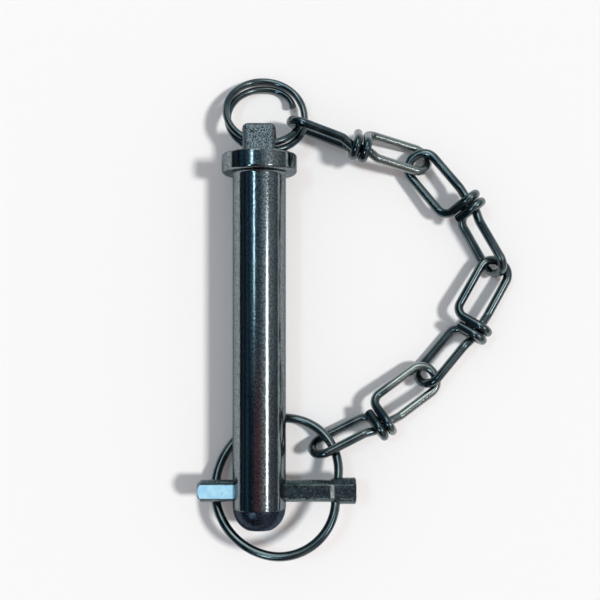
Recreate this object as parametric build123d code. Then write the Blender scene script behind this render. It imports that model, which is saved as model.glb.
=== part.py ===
from build123d import *
import math
import os

# Hitch pin for a drawbar: a collared steel pin with a split ring through its tang, a linch pin with a
# hinged ring through its cross hole, and a chain of four knotted wire links that keeps them together.
# Millimetres. The pin's axis is Y: the shank runs to -Y from the collar's underside at the origin, and
# the tang points to +Y. X runs through both holes. The whole lies at rest on the plane z = -COLLAR_D / 2.

# ---- pin
SHANK_D = 19.0          # shank, three quarters of an inch
GRIP_L = 108.4          # collar's underside to the near edge of the cross hole
END_LAND = 2.1          # cross hole's far edge to the start of the nose
NOSE_L = 7.3
NOSE_FLAT_D = 9.6       # flat end of the nose
COLLAR_STEP = 3.9       # how far the collar stands out from the shank
COLLAR_T = 6.7
COLLAR_ROUND = 1.2
NECK_FILLET = 1.0       # shank into collar
TANG_W = 11.7           # across X and across Z
TANG_L = 10.6
TANG_ROUND = 2.2
TANG_HOLE_D = 8.8
TANG_HOLE_LAND = 0.15   # collar's face to the edge of the tang hole

# ---- linch pin
LINCH_D = 7.9
LINCH_FLAT = 6.3        # across the two flats of the stem
LINCH_FIT = 0.6         # play in the cross hole, on diameter
LINCH_TIP_OUT = 12.5    # tip beyond the shank
LINCH_TIP_CHAMFER = 1.2
LINCH_NECK_OUT = 15.7   # shoulder beyond the shank
SHOULDER_L = 1.4
HEAD_D = 9.4
HEAD_FLAT = 6.9
HEAD_L = 7.8            # behind the shoulder
HEAD_ROUND = 0.7
HINGE_BACK = 6.8        # hinge holes in front of the head's end
HINGE_WEB = 2.6         # metal left between the two blind holes
HINGE_FIT = 0.4         # play of the ring's ends in their holes, on diameter

# ---- linch ring
RING_WIRE = 3.3
RING_NECK = 0.6         # straight wire beside the head
RING_SIDE_R = 19.8
RING_SIDE_TURN = 96.7   # degrees of each side bend
RING_YAW = 6.3          # hinge axis turned from square, degrees
RING_ROLL = 17.6        # hinge axis dropped towards the tang, degrees
RING_UNDER = 0.45       # gap where the wire passes under the shank

# ---- split ring
SPLIT_WIRE = 2.5
SPLIT_MEAN_D = 27.8
SPLIT_PLAY = 0.05       # between the two turns
SPLIT_SLIP = 1.3        # how far the lower turn has slipped towards the tang
SPLIT_SIDE = 1.0        # and to the right of it
SPLIT_CURL_R = 8.9      # the lower turn's free end curls in to this radius
SPLIT_CURL_END = 20.0   # where that end stops, degrees round the ring
SPLIT_JOG = 44.0        # degrees over which the wire steps from one turn to the other
SPLIT_JOG_AT = 30.0     # middle of the step
SPLIT_END_GAP = 12.0    # degrees from the upper turn's free end to the step
SPLIT_HEADING = -10.4   # the ring leans on the floor in a direction turned from +Y, degrees
SPLIT_IN_HOLE_X = -0.7  # where the two turns lie in the tang hole, from its centre
SPLIT_IN_HOLE_Y = -1.3
SPLIT_IN_HOLE_Z = 1.25
REST_GAP = 0.05         # everything lying on the floor, above it

# ---- chain link, one bent wire with its ends knotted round its middle
LINK_WIRE = 3.2
LINK_L = 55.4           # over both ends
LOOP_GAP = 7.6          # clear width of each loop at its end
KNOT_GAP = 5.0          # clear width at the knot
KNOT_PLAY = 0.15
KNOT_SPLAY = 1.6        # the first loop's strand leans out at the knot, and the second half as much
KNOT_TAIL = 6.0         # wire's end past the middle strand
LOOP_A = -27.0          # turn of the first loop about the link's length, degrees
LOOP_B = 28.3           # turn of the second loop
LINK_BEND = 7.5         # each loop bends away from the knot, degrees

# ---- how the chain lies, link by link from the split ring
LINK_ROLL = [117.3, 37.5, 24.7, 34.7]       # each link's turn about its own length, degrees
LINK_FAN = [70.4, 32.3, -37.2, -60.9]       # heading from the chain's chord, degrees, for a chain this slack
FIRST_END_LIFT = [3.66, 6.52, 6.00]         # height over the floor where a link ends inside the next
NEXT_END_LIFT = [4.94, 4.93, 5.73]          # height over the floor where the next link begins
HOOK_PLAY = [2.25, 0.70, 2.26]              # slack between two linked ends, along the chain
HOOK_SIDE = [-1.24, 0.70, 0.61]             # and across it
SPLIT_HOOK_AT = -10.3                       # first link on the split ring, degrees round it
SPLIT_HOOK_PLAY = 0.93
SPLIT_HOOK_RISE = 0.83
RING_HOOK_AT = 41.0                         # last link on the linch ring, degrees round the side bend
RING_HOOK_PLAY = 3.74
RING_HOOK_RISE = 0.13

# ---- what follows from those sizes
FLOOR = -(SHANK_D / 2 + COLLAR_STEP)
CROSS_D = LINCH_D + LINCH_FIT
CROSS_Y = -(GRIP_L + CROSS_D / 2)
NOSE_Y = CROSS_Y - CROSS_D / 2 - END_LAND
TIP_Y = NOSE_Y - NOSE_L
TANG_HOLE_Y = COLLAR_T + TANG_HOLE_LAND + TANG_HOLE_D / 2
HEAD_START = SHANK_D / 2 + LINCH_NECK_OUT
HEAD_END = HEAD_START + SHOULDER_L + HEAD_L
HINGE_X = HEAD_END - HINGE_BACK
HINGE_D = RING_WIRE + HINGE_FIT


def plane_at(origin, x_dir, y_dir):
    """Plane with the given x and y directions, which are square to each other."""
    return Plane(origin=origin, x_dir=x_dir, z_dir=Vector(*x_dir).cross(Vector(*y_dir)))


def round_bar(path, diameter, name):
    """Sweep a round section along a path, and compare its volume with section times length."""
    bar = sweep(Plane(origin=path @ 0, z_dir=path % 0) * Circle(diameter / 2), path=path)
    expected = math.pi * diameter ** 2 / 4 * path.length
    print(f"{name}: wire {path.length:.1f} mm long, volume {bar.volume:.1f} of {expected:.1f}")
    return bar


# ---- the pin
def hitch_pin():
    """Shank, collar and nose turned in one, with a rounded square tang and both holes."""
    shank_r = SHANK_D / 2
    collar_r = shank_r + COLLAR_STEP
    nose_r = NOSE_FLAT_D / 2
    bulge = (shank_r + nose_r) / 2 + 0.22 * (shank_r - nose_r)
    outline = Polyline(
        (0, TIP_Y), (nose_r, TIP_Y)
    ) + ThreePointArc(
        (nose_r, TIP_Y), (bulge, NOSE_Y - NOSE_L * 0.55), (shank_r - 0.15, NOSE_Y)
    ) + Polyline(
        (shank_r - 0.15, NOSE_Y), (shank_r, NOSE_Y + 0.3), (shank_r, 0), (collar_r, 0),
        (collar_r, COLLAR_T), (0, COLLAR_T), (0, TIP_Y)
    )
    body = revolve(make_face(outline), axis=Axis.Y)
    rims = body.edges().filter_by(GeomType.CIRCLE)
    body = fillet([e for e in rims if abs(e.radius - collar_r) < 0.01 and e.center().Y < 1], COLLAR_ROUND)
    rims = body.edges().filter_by(GeomType.CIRCLE)
    body = fillet([e for e in rims if abs(e.radius - collar_r) < 0.01 and e.center().Y > 1],
                  COLLAR_ROUND / 2)
    rims = body.edges().filter_by(GeomType.CIRCLE)
    body = fillet([e for e in rims if abs(e.radius - shank_r) < 0.01 and abs(e.center().Y) < 0.01],
                  NECK_FILLET)
    tang_back = COLLAR_T / 2
    tang = Pos(0, (tang_back + COLLAR_T + TANG_L) / 2, 0) * Box(
        TANG_W, COLLAR_T + TANG_L - tang_back, TANG_W)
    tang = fillet(tang.edges().filter_by(Axis.Y), TANG_ROUND)
    tang = fillet(tang.faces().sort_by(Axis.Y)[-1].edges(), TANG_ROUND * 0.8)
    tang_bore = Pos(0, TANG_HOLE_Y, 0) * Rot(0, 90, 0) * Cylinder(TANG_HOLE_D / 2, TANG_W * 2)
    cross_bore = Pos(0, CROSS_Y, 0) * Rot(0, 90, 0) * Cylinder(CROSS_D / 2, SHANK_D * 2)
    return body + (tang - tang_bore) - cross_bore


# ---- the linch pin
def hinge_frame(dip):
    """Hinge axis and the direction towards the ring's far side, for a given drop of that side."""
    yaw = math.radians(RING_YAW)
    roll = math.radians(RING_ROLL)
    along = Vector(math.sin(yaw), math.cos(yaw) * math.cos(roll), -math.cos(yaw) * math.sin(roll))
    level = Vector(-math.cos(yaw), math.sin(yaw) * math.cos(roll), -math.sin(yaw) * math.sin(roll))
    far = level * math.cos(dip) - along.cross(level) * math.sin(dip)
    return far, along


def linch_pin():
    """Round stem with two flats, a shoulder and a flatted head with two blind hinge holes."""
    tip_x = -(SHANK_D / 2 + LINCH_TIP_OUT)
    stem_r = LINCH_D / 2
    head_r = HEAD_D / 2
    shoulder_end = HEAD_START + SHOULDER_L
    outline = Polyline(
        (tip_x, 0), (tip_x, stem_r - LINCH_TIP_CHAMFER), (tip_x + LINCH_TIP_CHAMFER, stem_r),
        (HEAD_START, stem_r), (shoulder_end, head_r), (HEAD_END, head_r), (HEAD_END, 0), (tip_x, 0)
    )
    body = revolve(make_face(outline), axis=Axis.X)
    body = fillet([e for e in body.edges().filter_by(GeomType.CIRCLE)
                   if abs(e.center().X - HEAD_END) < 0.01], HEAD_ROUND)
    wide = 2 * HEAD_D
    stem_slab = Pos((tip_x + HEAD_START) / 2, 0, 0) * Box(HEAD_START - tip_x, wide, LINCH_FLAT)
    shoulder = loft([
        Plane(origin=(HEAD_START, 0, 0), z_dir=(1, 0, 0)) * Rectangle(LINCH_FLAT, wide),
        Plane(origin=(shoulder_end, 0, 0), z_dir=(1, 0, 0)) * Rectangle(HEAD_FLAT, wide),
    ])
    head_slab = Pos((shoulder_end + HEAD_END) / 2, 0, 0) * Box(HEAD_L, wide, HEAD_FLAT)
    body = body & (stem_slab + shoulder + head_slab)
    body = Pos(0, CROSS_Y, 0) * body
    centre = Vector(HINGE_X, CROSS_Y, 0)
    along = hinge_frame(0)[1]
    for side in (1, -1):
        bore = Solid.make_cylinder(HINGE_D / 2, HEAD_D, Plane(
            origin=centre + along * side * HINGE_WEB / 2, z_dir=along * side))
        body = body - bore
    return body


# ---- the linch ring
def ring_sizes():
    """Start of the side bends, and the far bend's centre and radius, which closes them tangent."""
    neck = HEAD_D / 2 + RING_NECK
    turn = math.radians(RING_SIDE_TURN)
    return neck, RING_SIDE_R + neck / math.tan(turn), RING_SIDE_R + neck / math.sin(turn)


def ring_line(degrees_step=3):
    """Points along the ring's bends, as (towards the far side, along the hinge)."""
    neck, far_centre, far_r = ring_sizes()
    points = []
    for k in range(int(RING_SIDE_TURN / degrees_step) + 1):
        a = math.radians(k * degrees_step)
        points.append((RING_SIDE_R - RING_SIDE_R * math.cos(a), neck + RING_SIDE_R * math.sin(a)))
    turns = int((360 - 2 * RING_SIDE_TURN) / degrees_step) + 1
    for k in range(turns):
        a = math.radians(RING_SIDE_TURN + k * degrees_step)
        points.append((far_centre - far_r * math.cos(a), far_r * math.sin(a)))
    return points


def ring_dip():
    """Drop of the ring's far side at which the wire clears the shank's underside by RING_UNDER."""
    hinge = Vector(HINGE_X, CROSS_Y, 0)

    def clearance(dip):
        far, along = hinge_frame(dip)
        under = [hinge + far * u + along * v for u, v in ring_line()]
        beside = [math.hypot(p.X, p.Z) for p in under if p.Y > CROSS_Y]
        return min(beside) - SHANK_D / 2 - RING_WIRE / 2

    low, high = 0.0, math.radians(30)
    for _ in range(40):
        middle = (low + high) / 2
        if clearance(middle) < RING_UNDER:
            low = middle
        else:
            high = middle
    return high


def ring_plane():
    """The linch ring's own plane: x towards the far side, y along the hinge."""
    far, along = hinge_frame(ring_dip())
    return plane_at((HINGE_X, CROSS_Y, 0), tuple(far), tuple(along))


def linch_ring():
    """Round wire: two ends in the head's blind holes, two side bends and the far bend."""
    neck, far_centre, far_r = ring_sizes()
    turn = RING_SIDE_TURN
    inner = HINGE_WEB / 2 + HINGE_FIT / 2
    path = Wire([
        Line((0, inner), (0, neck)),
        CenterArc((RING_SIDE_R, neck), RING_SIDE_R, 180, -turn),
        CenterArc((far_centre, 0), far_r, 180 - turn, 2 * turn - 360),
        CenterArc((RING_SIDE_R, -neck), RING_SIDE_R, 180 + turn, -turn),
        Line((0, -neck), (0, -inner)),
    ])
    return ring_plane().location * round_bar(path, RING_WIRE, "linch_ring")


# ---- the split ring
def split_plane():
    """Plane between the two turns: they lie in the tang hole on one side, on the floor on the other."""
    near_r = (SPLIT_MEAN_D + SPLIT_SLIP) / 2
    half_pitch = (SPLIT_WIRE + SPLIT_PLAY) / 2
    tilt = math.radians(20)
    for _ in range(20):
        far_z = FLOOR + REST_GAP + SPLIT_WIRE / 2 + half_pitch * math.cos(tilt)
        tilt = math.asin((SPLIT_IN_HOLE_Z - far_z) / (SPLIT_MEAN_D - SPLIT_SLIP / 2))
    heading = math.radians(SPLIT_HEADING)
    across = Vector(math.cos(heading), math.sin(heading), 0)
    down = Vector(-math.sin(heading) * math.cos(tilt), math.cos(heading) * math.cos(tilt), -math.sin(tilt))
    in_hole = Vector(SPLIT_IN_HOLE_X, TANG_HOLE_Y + SPLIT_IN_HOLE_Y, SPLIT_IN_HOLE_Z)
    return plane_at(tuple(in_hole + down * near_r), tuple(across), tuple(down))


def split_ring():
    """Two flat turns of round wire, the lower one slipped towards the tang with its free end curled
    in, joined by a step where the wire climbs from one turn to the other."""
    mean_r = SPLIT_MEAN_D / 2
    half_pitch = (SPLIT_WIRE + SPLIT_PLAY) / 2
    first = SPLIT_JOG_AT - SPLIT_JOG / 2
    last = SPLIT_JOG_AT + SPLIT_JOG / 2
    curl_y = mean_r - SPLIT_CURL_R - SPLIT_SLIP
    curl = CenterArc(
        (SPLIT_SIDE, curl_y, -half_pitch), SPLIT_CURL_R, SPLIT_CURL_END, 90 - SPLIT_CURL_END)
    lower = CenterArc((SPLIT_SIDE, -SPLIT_SLIP, -half_pitch), mean_r, 90, 270 + first)
    upper = CenterArc((0, 0, half_pitch), mean_r, last, 360 + first - SPLIT_END_GAP - last)
    step = Spline([lower @ 1, upper @ 0], tangents=[lower % 1, upper % 0])
    path = Wire([*curl.edges(), *lower.edges(), *step.edges(), *upper.edges()])
    return split_plane().location * round_bar(path, SPLIT_WIRE, "split_ring")


# ---- the chain
def link_reach():
    """From the link's middle to the centre line at either end."""
    return (LINK_L - LINK_WIRE) / 2


def link_drop():
    """How far the link's bend lowers the ends from the knot."""
    return (link_reach() - LINK_WIRE) * math.tan(math.radians(LINK_BEND))


def chain_link():
    """One wire: a coil round the middle strand, the first loop, the middle strand, the second loop
    and a second coil beside the first. x runs along the link, y towards the knot's outer side."""
    reach = link_reach()
    half_loop = (LOOP_GAP + LINK_WIRE) / 2
    strand = (KNOT_GAP + LINK_WIRE) / 2
    coil_x = LINK_WIRE / 2 + KNOT_PLAY
    coil_r = LINK_WIRE + KNOT_PLAY
    top = strand + coil_r
    tail = strand - KNOT_TAIL
    ay = half_loop * math.cos(math.radians(LOOP_A))
    az = half_loop * math.sin(math.radians(LOOP_A))
    by = half_loop * math.cos(math.radians(LOOP_B))
    bz = half_loop * math.sin(math.radians(LOOP_B))
    leave = coil_x + LINK_WIRE * 0.4
    spread = leave + 1.25 * LINK_WIRE
    route = [
        (-coil_x, tail, -coil_r), (-coil_x, top, -coil_r), (-coil_x, top, coil_r),
        (-coil_x, -strand - KNOT_SPLAY, coil_r), (-reach, -ay, -az), (-reach, ay, az),
        (-spread, strand, 0.7 * az), (-leave, strand, 0), (leave, strand, 0),
        (spread, strand, 0.7 * bz), (reach, by, bz), (reach, -by, -bz),
        (coil_x, -strand - KNOT_SPLAY / 2, -coil_r), (coil_x, top, -coil_r), (coil_x, top, coil_r),
        (coil_x, tail, coil_r),
    ]
    bend = math.tan(math.radians(LINK_BEND))
    route = [Vector(x, y - max(0, abs(x) - LINK_WIRE) * bend, z) for x, y, z in route]
    coil = coil_r - 0.05
    crook = 1.25 * LINK_WIRE
    end = 0.95 * half_loop
    ease = LINK_WIRE
    radii = [coil, coil, crook, end, end, 1.5 * ease, ease, ease, 1.5 * ease, end, end, crook, coil, coil]
    return round_bar(FilletPolyline(route, radius=radii), LINK_WIRE, "chain_link")


def chain_start():
    """Centre line of the first link's end, inside the split ring."""
    a = math.radians(SPLIT_HOOK_AT)
    r = (SPLIT_MEAN_D - SPLIT_WIRE - LINK_WIRE) / 2 - SPLIT_HOOK_PLAY
    return split_plane().from_local_coords(Vector(r * math.cos(a), r * math.sin(a), SPLIT_HOOK_RISE))


def chain_finish():
    """Centre line of the last link's end, inside the linch ring's side bend."""
    a = math.radians(RING_HOOK_AT)
    r = RING_SIDE_R - (RING_WIRE + LINK_WIRE) / 2 - RING_HOOK_PLAY
    neck = ring_sizes()[0]
    return ring_plane().from_local_coords(
        Vector(RING_SIDE_R - r * math.cos(a), neck + r * math.sin(a), RING_HOOK_RISE))


def chain_ends(base, fan):
    """Both end points of each link, for a heading of the whole chain and a share of its fan."""
    start, finish = chain_start(), chain_finish()
    first_z = [start.Z] + [FLOOR + lift for lift in NEXT_END_LIFT]
    last_z = [FLOOR + lift for lift in FIRST_END_LIFT] + [finish.Z]
    headings = [base + fan * math.radians(a) for a in LINK_FAN]
    x, y = start.X, start.Y
    ends = []
    for k, heading in enumerate(headings):
        rise = last_z[k] - first_z[k]
        level = math.sqrt((2 * link_reach()) ** 2 - rise ** 2)
        first = Vector(x, y, first_z[k])
        last = Vector(x + level * math.cos(heading), y + level * math.sin(heading), last_z[k])
        ends.append((first, last))
        if k < len(headings) - 1:
            along = (heading + headings[k + 1]) / 2
            back = LINK_WIRE + HOOK_PLAY[k]
            x = last.X - back * math.cos(along) - HOOK_SIDE[k] * math.sin(along)
            y = last.Y - back * math.sin(along) + HOOK_SIDE[k] * math.cos(along)
    return ends


def chain_poses():
    """Close the chain between its two rings: search the fan for the chord, then turn it into line."""
    start, finish = chain_start(), chain_finish()
    chord = math.hypot(finish.X - start.X, finish.Y - start.Y)
    low, high = 0.0, 1.6
    for _ in range(50):
        middle = (low + high) / 2
        last = chain_ends(0, middle)[-1][1]
        if math.hypot(last.X - start.X, last.Y - start.Y) > chord:
            low = middle
        else:
            high = middle
    last = chain_ends(0, high)[-1][1]
    turn = (math.atan2(finish.Y - start.Y, finish.X - start.X)
            - math.atan2(last.Y - start.Y, last.X - start.X))
    poses = []
    for (first, last), roll in zip(chain_ends(turn, high), LINK_ROLL):
        along = (last - first).normalized()
        side = Vector(0, 0, 1).cross(along).normalized()
        up = along.cross(side)
        a = math.radians(roll)
        outer = side * math.cos(a) + up * math.sin(a)
        poses.append(plane_at(tuple((first + last) / 2 + outer * link_drop()), tuple(along), tuple(outer)))
    return poses


def build():
    """Every piece, by node name."""
    pieces = {
        "hitch_pin": hitch_pin(),
        "split_ring": split_ring(),
        "linch_pin": linch_pin(),
        "linch_ring": linch_ring(),
    }
    link = chain_link()
    for number, pose in enumerate(chain_poses(), 1):
        pieces[f"chain_link_{number}"] = pose.location * link
    return pieces


os.makedirs("parts", exist_ok=True)
PIECES = build()
for name, piece in PIECES.items():
    export_step(piece, f"parts/{name}.step")
    box = piece.bounding_box()
    print(f"{name}: {len(piece.solids())} solid, x {box.min.X:.2f} to {box.max.X:.2f}, "
          f"y {box.min.Y:.2f} to {box.max.Y:.2f}, z {box.min.Z:.2f} to {box.max.Z:.2f}")
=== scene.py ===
# %% [markdown]
# # A hitch pin with its linch pin and safety chain
# The real object is a turned steel pin that couples a drawbar. A small linch pin crosses its nose and
# stops it from sliding out, and a chain of knotted wire links keeps the two together. All of it is
# steel wire or bar with a thin bright zinc plating.
# The CAD model already has every solid in its right place and size, so this lesson is about finish:
# what turned, pressed and drawn steel look like close up, and how to write that as shader arithmetic.

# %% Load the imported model
import bpy
import math
import numpy as np
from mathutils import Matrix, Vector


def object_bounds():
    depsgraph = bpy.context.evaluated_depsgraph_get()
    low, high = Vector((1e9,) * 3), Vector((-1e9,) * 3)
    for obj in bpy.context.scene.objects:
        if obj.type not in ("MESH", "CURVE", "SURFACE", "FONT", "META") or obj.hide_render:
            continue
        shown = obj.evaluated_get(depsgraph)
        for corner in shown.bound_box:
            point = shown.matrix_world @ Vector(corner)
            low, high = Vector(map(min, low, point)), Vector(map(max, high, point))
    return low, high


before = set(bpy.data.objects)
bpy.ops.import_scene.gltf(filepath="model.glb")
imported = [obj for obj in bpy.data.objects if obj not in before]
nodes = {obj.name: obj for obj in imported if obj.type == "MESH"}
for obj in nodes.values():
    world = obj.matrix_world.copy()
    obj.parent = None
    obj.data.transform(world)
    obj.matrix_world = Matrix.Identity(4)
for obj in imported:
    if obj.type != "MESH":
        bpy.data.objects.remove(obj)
cad_low, cad_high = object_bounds()
print("CAD box, mm:", [round(1000 * c, 1) for c in (*cad_low, *cad_high)])

# %% [markdown]
# ## Reading the pin's own landmarks
# The finish of the pin changes along its length: a grainy tang, a turned collar and grip, and a dark
# nose. A finish needs to know where each begins. Those places are read from the mesh itself, so they
# follow the CAD if a size changes. The pin lies along Y with its axis at the origin, so the distance
# of a point from the Y axis is its radius.

# %% Landmarks of the pin
MM = 0.001
# The links whose right halves get a painted sheen.
SHEEN_PAINTED_LINKS = ("chain_link_1", "chain_link_4")
CLEAR_OF_COLLAR = 10  # mm beyond the collar, where the shank is plain
CLEAR_OF_SHANK = 3    # mm beyond the shank, where the linch pin's tip is in the open


def points(node):
    """The vertices of a CAD node as an array of n rows of x, y, z, in millimetres."""
    mesh = nodes[node].data
    flat = np.zeros(3 * len(mesh.vertices), np.float32)
    mesh.vertices.foreach_get("co", flat)
    return flat.reshape(-1, 3).astype(float) / MM


pin = points("hitch_pin")
pin_radius = np.hypot(pin[:, 0], pin[:, 2])
collar = pin[pin_radius > 0.99 * pin_radius.max()]
COLLAR_NEAR = collar[:, 1].min()
TANG_AT = pin[pin_radius > 0.8 * pin_radius.max(), 1].max()
below = pin[:, 1] < COLLAR_NEAR - CLEAR_OF_COLLAR
SHANK_R = pin_radius[below].max()
NOSE_AT = pin[below & (pin_radius > 0.995 * SHANK_R), 1].min()
linch = points("linch_pin")
LINCH_Y = (linch[:, 1].min() + linch[:, 1].max()) / 2
linch_radius = np.hypot(linch[:, 1] - LINCH_Y, linch[:, 2])
HEAD_AT = linch[linch_radius > 0.99 * linch_radius.max(), 0].min()
stem = linch[linch[:, 0] < -SHANK_R - CLEAR_OF_SHANK]
LINCH_HALF = stem[:, 2].max()
FLAT_HALF = (stem[stem[:, 2] > 0.999 * LINCH_HALF, 1] - LINCH_Y).max()
print(f"shank radius {SHANK_R:.2f} mm, nose begins at y = {NOSE_AT:.2f} mm")
print(f"collar from y = {COLLAR_NEAR:.2f} to {TANG_AT:.2f} mm")
print(f"linch pin head from x = {HEAD_AT:.2f} mm")
print(f"half its flat {FLAT_HALF:.2f} mm, half its thickness {LINCH_HALF:.2f} mm")

# %% [markdown]
# ## Shader arithmetic
# A node tree is a formula drawn with boxes. It is easier to read as text, so one small class wraps a
# socket and lets Python's own operators add the Math nodes: `1 - mask` adds a Subtract node. Any other
# node comes from its one method, which sets the node's own settings first and then its sockets.

# %% One class for shader sockets


class Signal:
    """One socket of a node tree. Arithmetic on it adds the Math node that does the sum."""

    def __init__(self, socket):
        self.socket = socket

    def node(self, kind, settings, sockets, output=0):
        """Adds a node of any kind beside this one and returns its output. settings are the node's own
        properties, or stops for a colour ramp. sockets maps names or numbers to values or Signals."""
        tree = self.socket.id_data
        made = tree.nodes.new("ShaderNode" + kind)
        for name, value in settings.items():
            if name == "stops":
                ramp = made.color_ramp
                while len(ramp.elements) < len(value):
                    ramp.elements.new(0.5)
                for element, (place, colour) in zip(ramp.elements, value):
                    element.position = place
                    element.color = (*colour, 1)
            else:
                setattr(made, name, value)
        for key, value in sockets.items():
            if isinstance(value, Signal):
                tree.links.new(value.socket, made.inputs[key])
            elif isinstance(value, tuple) and made.inputs[key].type == "RGBA":
                made.inputs[key].default_value = (*value, 1)
            else:
                made.inputs[key].default_value = value
        return Signal(made.outputs[output])

    def math(self, operation, first, second=0.0):
        return self.node("Math", {"operation": operation}, {0: first, 1: second})

    def __add__(self, other):
        return self.math("ADD", self, other)

    __radd__ = __add__

    def __sub__(self, other):
        return self.math("SUBTRACT", self, other)

    def __rsub__(self, other):
        return self.math("SUBTRACT", other, self)

    def __mul__(self, other):
        return self.math("MULTIPLY", self, other)

    __rmul__ = __mul__

    def __abs__(self):
        return self.math("ABSOLUTE", self)


def rise(value, low, high):
    """0 where value is below low and 1 above high, with a smooth step between. low may be the larger."""
    sockets = {"Value": value, "From Min": low, "From Max": high}
    return value.node("MapRange", {"interpolation_type": "SMOOTHSTEP"}, sockets)


def mix(mask, colour_a, colour_b):
    """colour_a where the mask is 0 and colour_b where it is 1."""
    return mask.node("Mix", {"data_type": "RGBA"}, {0: mask, 6: colour_a, 7: colour_b}, 2)


def grain(place, size, detail=2.0, roughness=0.55, stretch=(1, 1, 1)):
    """Noise whose patches are about size millimetres wide, longer along an axis whose stretch is above 1."""
    scale = tuple(1 / (size * s) for s in stretch)
    turned = place.node("VectorMath", {"operation": "MULTIPLY"}, {0: place, 1: scale})
    sockets = {"Vector": turned, "Scale": 1.0, "Detail": detail, "Roughness": roughness}
    return place.node("TexNoise", {}, sockets)


def new_finish(name):
    """A material with one Principled shader. Returns it, the shader, and Object coordinates in mm."""
    material = bpy.data.materials.new(name)
    material.use_nodes = True
    tree = material.node_tree
    tree.nodes.clear()
    shader = tree.nodes.new("ShaderNodeBsdfPrincipled")
    output = tree.nodes.new("ShaderNodeOutputMaterial")
    tree.links.new(shader.outputs["BSDF"], output.inputs["Surface"])
    shader.inputs["Metallic"].default_value = 1.0
    metres = Signal(tree.nodes.new("ShaderNodeTexCoord").outputs["Object"])
    place = metres.node("VectorMath", {"operation": "SCALE"}, {0: metres, "Scale": 1 / MM})
    return material, shader, place


def wire_up(shader, colour, roughness, height, depth):
    """Links a finish to its shader. height is the relief from 0 to 1, and depth its size in millimetres."""
    tree = shader.id_data
    bump = height.node("Bump", {}, {"Strength": 1.0, "Distance": depth * MM, "Height": height}, "Normal")
    tree.links.new(colour.socket, shader.inputs["Base Color"])
    tree.links.new(roughness.socket, shader.inputs["Roughness"])
    tree.links.new(bump.socket, shader.inputs["Normal"])


def dress(node, material):
    """Gives a CAD node its finish. The mesh itself stays as it is."""
    for material_slot in nodes[node].material_slots:
        material_slot.material = material
    print(f"{node} wears {material.name}")


# %% [markdown]
# ## The pin: turned, forged and plated
# A lathe leaves fine rings round the grip, which tumbling and plating soften into a skin of small
# specks. The tang has the coarse grain of a forging, and the nose is given a darker and finer one.
# One material does all three, because it is one piece of steel. Two masks along Y choose between
# them, and each mask is a smooth step at a landmark.

# %% Finish of the hitch pin
DARK_SPECK, PALE_SPECK = (0.11, 0.135, 0.15), (0.29, 0.325, 0.335)
CLOUD = (0.23, 0.245, 0.25)
TANG_PIT, TANG_CREST = (0.01, 0.018, 0.025), (0.36, 0.43, 0.46)
NOSE_PIT, NOSE_CREST = (0.015, 0.025, 0.045), (0.09, 0.105, 0.14)
RIM_TINT = (0.45, 0.5, 0.53, 1)
PIN_RELIEF = 0.16  # mm

material, shader, place = new_finish("turned_pin")
y = place.node("SeparateXYZ", {}, {0: place}, 1)
on_tang = rise(y, TANG_AT, TANG_AT + 0.4)
on_nose = rise(y, NOSE_AT + 0.3, NOSE_AT - 0.5)

broad = grain(place, 14.0, 3.0)
specks = grain(place, 0.6, 2.0, 0.6)
sparkle = rise(grain(place, 0.55, 1.0), 0.52, 0.62)
pits = grain(place, 0.36, 3.0, 0.65)
rings = grain(place, 0.5, 2.0, 0.5, (40, 1, 40))

turned_colour = mix(rise(specks, 0.38, 0.62), DARK_SPECK, PALE_SPECK)
turned_colour = mix(rise(broad, 0.35, 0.65) * 0.35, turned_colour, CLOUD)
tang_colour = mix(rise(pits, 0.42, 0.60), TANG_PIT, TANG_CREST)
nose_colour = mix(rise(pits, 0.38, 0.62), NOSE_PIT, NOSE_CREST)
colour = mix(on_nose, mix(on_tang, turned_colour, tang_colour), nose_colour)
roughness = 0.08 + rise(broad, 0.3, 0.7) * 0.03 + sparkle * 0.06 + on_tang * 0.22 + on_nose * 0.18
turned_height = (specks * 0.13 + rings * 0.015) * (1 - on_tang) * (1 - on_nose)
height = turned_height + pits * on_tang + pits * on_nose * 0.35
wire_up(shader, colour, roughness, height, PIN_RELIEF)
shader.inputs["Specular Tint"].default_value = RIM_TINT
dress("hitch_pin", material)

# %% [markdown]
# ## The linch pin: pressed flats
# The linch pin is a round bar that a press has squeezed between two dies. The flats keep the mottled
# print of the dies, and their edges are worn. The shoulder bevel gets a painted highlight: a pale, less
# metallic strip. The flat on the tip is given a frosted pale blue, a painted reflection of the sky in
# it: bare steel there has no such colour.

# %% Finish of the linch pin
MOTTLE_DARK, MOTTLE_PALE = (0.035, 0.055, 0.065), (0.20, 0.27, 0.29)
# Colours of the worn edges and of the painted highlight on the shoulder bevel.
WEAR_AND_HIGHLIGHT_DARK, WEAR_AND_HIGHLIGHT_PALE = (0.16, 0.18, 0.18), (0.60, 0.63, 0.58)
SKY_DEEP, SKY_PALE = (0.36, 0.70, 0.96), (0.50, 0.84, 1.0)
SCRATCH = (0.12, 0.30, 0.42)
LINCH_RELIEF = 0.06  # mm

material, shader, place = new_finish("pressed_linch_pin")
x, y, z = (place.node("SeparateXYZ", {}, {0: place}, i) for i in range(3))
on_tip = rise(x, -SHANK_R + 3, -SHANK_R + 1)
on_head = rise(x, HEAD_AT - 0.1, HEAD_AT + 0.2)
# Painted highlight: the shoulder bevel's strip on the flat is made pale and less metallic, for the light it
# catches.
painted_shoulder_highlight = rise(x, HEAD_AT - 1.5, HEAD_AT - 1.1) * (1 - on_head)
beside = abs(y - LINCH_Y)
on_top = rise(z, 0.8 * LINCH_HALF, 0.97 * LINCH_HALF)
on_flat = on_top * rise(beside, FLAT_HALF + 0.2, FLAT_HALF - 0.1)
from_inside = rise(beside, FLAT_HALF - 0.35, FLAT_HALF - 0.05)
from_outside = rise(beside, FLAT_HALF + 0.45, FLAT_HALF + 0.15)
on_edge = on_top * from_inside * from_outside

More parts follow.
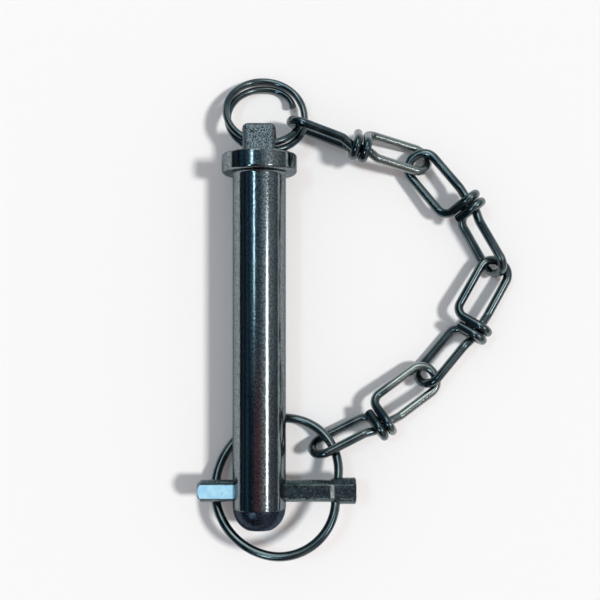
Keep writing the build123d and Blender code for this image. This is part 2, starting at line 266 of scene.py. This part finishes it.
mottle = grain(place, 0.42, 3.0, 0.65)
patches = grain(place, 3.0, 2.0)
scratches = rise(grain(place, 0.35, 3.0, 0.6, (1, 8, 1)), 0.60, 0.72)
dull_colour = mix(rise(mottle, 0.40, 0.66), MOTTLE_DARK, MOTTLE_PALE)
wear_and_highlight_colour = mix(rise(mottle, 0.40, 0.60), WEAR_AND_HIGHLIGHT_DARK, WEAR_AND_HIGHLIGHT_PALE)
# Painted reflection: the tip's flat is coloured pale blue for the sky that it reflects, and is also made
# rough.
sky_colour = mix(rise(patches, 0.3, 0.7), SKY_DEEP, SKY_PALE)
sky_colour = mix(scratches * 0.5, sky_colour, SCRATCH)
frosted_sky_reflection = on_tip * on_flat
worn_edge = on_edge * (1 - on_tip) * rise(patches, 0.35, 0.65) * 0.5
# This mask holds the wear on the edges and the painted highlight on the shoulder bevel.
wear_and_shoulder_highlight = rise(worn_edge + painted_shoulder_highlight * on_flat, 0.0, 1.0)
colour = mix(frosted_sky_reflection, mix(wear_and_shoulder_highlight, dull_colour, wear_and_highlight_colour), sky_colour)
roughness = 0.24 + rise(patches, 0.3, 0.7) * 0.08 + frosted_sky_reflection * 0.3
height = mottle * (1 - on_tip * 0.8)
wire_up(shader, colour, roughness, height, LINCH_RELIEF)
metallic = 1 - frosted_sky_reflection * 0.85 - wear_and_shoulder_highlight * 0.6
shader.id_data.links.new(metallic.socket, shader.inputs["Metallic"])
dress("linch_pin", material)

# %% [markdown]
# ## Rings and links: drawn wire
# Wire is drawn through a die, so it is the smoothest steel here, and its plating looks dark with a
# blue-green cast and sharp highlights. The right halves of the first and the last link get a painted
# sheen: a lighter and more silvery colour for light that they reflect, on the same plating.

# %% Finish of the wire
WIRE_DARK, WIRE_PALE = (0.075, 0.105, 0.12), (0.145, 0.175, 0.18)
PAINTED_SILVER_SHEEN = (0.29, 0.32, 0.31)
WIRE_RELIEF = 0.008  # mm
PAST_THE_KNOT = 3    # mm from a link's middle to where the silvery plating begins


def wire_finish(name, sheen_from=None):
    """Dark drawn wire. Beyond the x that is given, in millimetres, a painted sheen colours it light and
    silvery.
    """
    material, shader, place = new_finish(name)
    cloudy = grain(place, 9.0, 2.0)
    colour = mix(rise(cloudy, 0.35, 0.65), WIRE_DARK, WIRE_PALE)
    roughness = 0.14 + rise(cloudy, 0.3, 0.7) * 0.06
    if sheen_from is not None:
        x = place.node("SeparateXYZ", {}, {0: place}, 0)
        # Painted sheen: beyond this x the wire is coloured lighter and silvery for the light that it
        # reflects.
        painted_sheen = rise(x, sheen_from, sheen_from + 5)
        colour = mix(painted_sheen, colour, PAINTED_SILVER_SHEEN)
        roughness = roughness + painted_sheen * 0.08
    wire_up(shader, colour, roughness, grain(place, 0.5, 2.0), WIRE_RELIEF)
    return material


dark_wire = wire_finish("drawn_wire")
for node in nodes:
    if node not in ("hitch_pin", "linch_pin", *SHEEN_PAINTED_LINKS):
        dress(node, dark_wire)
for node in SHEEN_PAINTED_LINKS:
    reach = points(node)[:, 0]
    dress(node, wire_finish("painted_sheen_wire", (reach.min() + reach.max()) / 2 + PAST_THE_KNOT))

# %% [markdown]
# ## The floor
# A plain pale floor holds the object's shadow. It is far wider than the object, so that it fills the
# picture from above.

# %% Floor
FLOOR_HALF = 6.0  # metres
FLOOR_COLOUR = (0.96, 0.96, 0.96, 1)
floor_z = cad_low[2]
floor_mesh = bpy.data.meshes.new("floor")
corners = [(a * FLOOR_HALF, b * FLOOR_HALF, floor_z) for a, b in ((-1, -1), (1, -1), (1, 1), (-1, 1))]
floor_mesh.from_pydata(corners, [], [(0, 1, 2, 3)])
floor = bpy.data.objects.new("floor", floor_mesh)
bpy.context.scene.collection.objects.link(floor)
material, shader, _ = new_finish("pale_floor")
shader.inputs["Metallic"].default_value = 0.0
shader.inputs["Roughness"].default_value = 0.9
shader.inputs["Specular IOR Level"].default_value = 0.1
shader.inputs["Base Color"].default_value = FLOOR_COLOUR
floor_mesh.materials.append(material)
print(f"floor at z = {floor_z / MM:.1f} mm")

# %% [markdown]
# ## The world: two rooms in one
# Polished steel has hardly a colour of its own and shows what is round it. So this world is not the
# same for every ray. The camera sees a pale background, and matt surfaces get an even fill. Glossy rays,
# and only they, see a made-up dark room instead, with bands of colour from left to right and soft
# windows, and the lamps further down are hidden from them.
# That is a cheat, and it is worth knowing. The bands and streaks on the steel are this hidden room. A
# plain pale world for glossy rays too would be more honest, and under it the same steel is a flat mid grey.

# %% World
world = bpy.data.worlds.new("dark_room")
bpy.context.scene.world = world
world.use_nodes = True
tree = world.node_tree
background = tree.nodes["Background"]
direction = Signal(tree.nodes.new("ShaderNodeTexCoord").outputs["Generated"])
across, along, up = (direction.node("SeparateXYZ", {}, {0: direction}, i) for i in range(3))
from_left = across * 0.5 + 0.5
FRONT_STOPS = [
    (0.0, (0.002, 0.006, 0.012)),
    (0.030, (0.04, 0.07, 0.10)),
    (0.060, (0.003, 0.01, 0.024)),
    (0.115, (0.06, 0.11, 0.16)),
    (0.165, (0.006, 0.022, 0.042)),
    (0.30, (0.02, 0.03, 0.045)),
    (0.50, (0.10, 0.11, 0.12)),
    (0.60, (0.26, 0.22, 0.22)),
    (0.70, (0.48, 0.46, 0.46)),
    (0.82, (0.30, 0.31, 0.33)),
    (0.95, (0.16, 0.17, 0.19)),
    (1.0, (0.09, 0.11, 0.125)),
]
BACK_STOPS = [
    (0.0, (0.002, 0.006, 0.012)),
    (0.030, (0.05, 0.07, 0.09)),
    (0.060, (0.003, 0.01, 0.024)),
    (0.115, (0.05, 0.11, 0.16)),
    (0.165, (0.01, 0.035, 0.06)),
    (0.25, (0.12, 0.22, 0.28)),
    (0.36, (0.10, 0.17, 0.22)),
    (0.52, (0.09, 0.15, 0.19)),
    (0.62, (0.26, 0.34, 0.38)),
    (0.71, (0.60, 0.66, 0.70)),
    (0.80, (0.36, 0.41, 0.44)),
    (0.91, (0.36, 0.40, 0.42)),
    (1.0, (0.12, 0.17, 0.18)),
]
front = from_left.node("ValToRGB", {"stops": FRONT_STOPS}, {0: from_left})
back = from_left.node("ValToRGB", {"stops": BACK_STOPS}, {0: from_left})
room = mix(rise(along, -0.06, 0.03), front, back)


def window(room, middle, half, colour):
    """A soft patch of light in the upper half of the world. middle and half are its place and half its
    size, as the across and along parts of the direction to it."""
    patch = rise(up, 0.0, 0.1)
    for part, place, reach in zip((across, along), middle, half):
        patch = patch * rise(abs(part - place), reach, 0.3 * reach)
    return mix(patch, room, colour)


WINDOWS = {
    "warm wall": ((-0.14, -0.11), (0.24, 0.12), (0.20, 0.07, 0.09)),
    "broad skylight": ((-0.06, 0.60), (0.30, 0.38), (2.8, 3.0, 2.85)),
    "low left window": ((-0.43, -0.42), (0.08, 0.20), (7.0, 9.5, 10.5)),
    "blue window": ((-0.335, 0.16), (0.06, 0.14), (5.2, 7.2, 8.2)),
    "white strip": ((0.585, -0.02), (0.075, 0.19), (13.0, 13.2, 13.2)),
}
for middle, half, colour in WINDOWS.values():
    room = window(room, middle, half, colour)
FILL = (0.41, 0.38, 0.38)
PALE = (0.9, 0.905, 0.91)
paths = tree.nodes.new("ShaderNodeLightPath").outputs
light = mix(Signal(paths["Is Glossy Ray"]), FILL, room)
light = mix(Signal(paths["Is Camera Ray"]), light, PALE)
tree.links.new(light.socket, background.inputs["Color"])
print("seen by glossy rays only:", ", ".join(WINDOWS))

# %% [markdown]
# ## The lamps
# Two wide suns give the shadow soft edges: a white one from the right, and a pale blue one from the left.
# Their shares and the world's fill add to about 1, so that the floor shows its own colour. They are
# hidden from glossy rays, where the windows of the made-up room stand in for them.

# %% Lamps


def sun(name, towards, angle, colour, share):
    """A sun lamp. towards is how far across and along the way to it goes for each unit up, angle its
    width in degrees, and share its part of the light that shows the floor's own colour."""
    lamp = bpy.data.lights.new(name, "SUN")
    lamp.angle = math.radians(angle)
    lamp.color = colour
    way = np.array([*towards, 1.0])
    lamp.energy = share * math.pi * np.linalg.norm(way)
    made = bpy.data.objects.new(name, lamp)
    bpy.context.scene.collection.objects.link(made)
    made.visible_glossy = False
    made.rotation_euler = (math.atan(math.hypot(*towards)), 0, math.atan2(towards[0], -towards[1]))
    print(f"{name}: {share:.0%} of the floor's light, {angle} degrees wide")


sun("white_key", (0.66, -0.05), 8, (1.0, 0.985, 0.965), 0.56)
sun("blue_window", (-0.36, 0.17), 7, (0.45, 0.80, 1.0), 0.08)

# %% [markdown]
# ## The camera
# The camera looks straight down on the lying pin from about a third of a metre, with the pin's nose
# towards the bottom of the picture.

# %% Camera
CAMERA_AT = (14.49, -63.97, 354.0)  # mm
FRAME = 600       # the picture's width, in the units of the next two
FOCAL = 994.4
SHIFT_UP = 54
camera_data = bpy.data.cameras.new("camera")
camera = bpy.data.objects.new("camera", camera_data)
bpy.context.scene.collection.objects.link(camera)
bpy.context.scene.camera = camera
camera.location = [c * MM for c in CAMERA_AT]
camera_data.lens = camera_data.sensor_width * FOCAL / FRAME
camera_data.shift_y = SHIFT_UP / FRAME
camera_data.clip_start = 0.02
bpy.context.scene.view_settings.view_transform = "Standard"
print(f"camera {CAMERA_AT[2]:.0f} mm above the pin's axis, lens {camera_data.lens:.1f} mm")
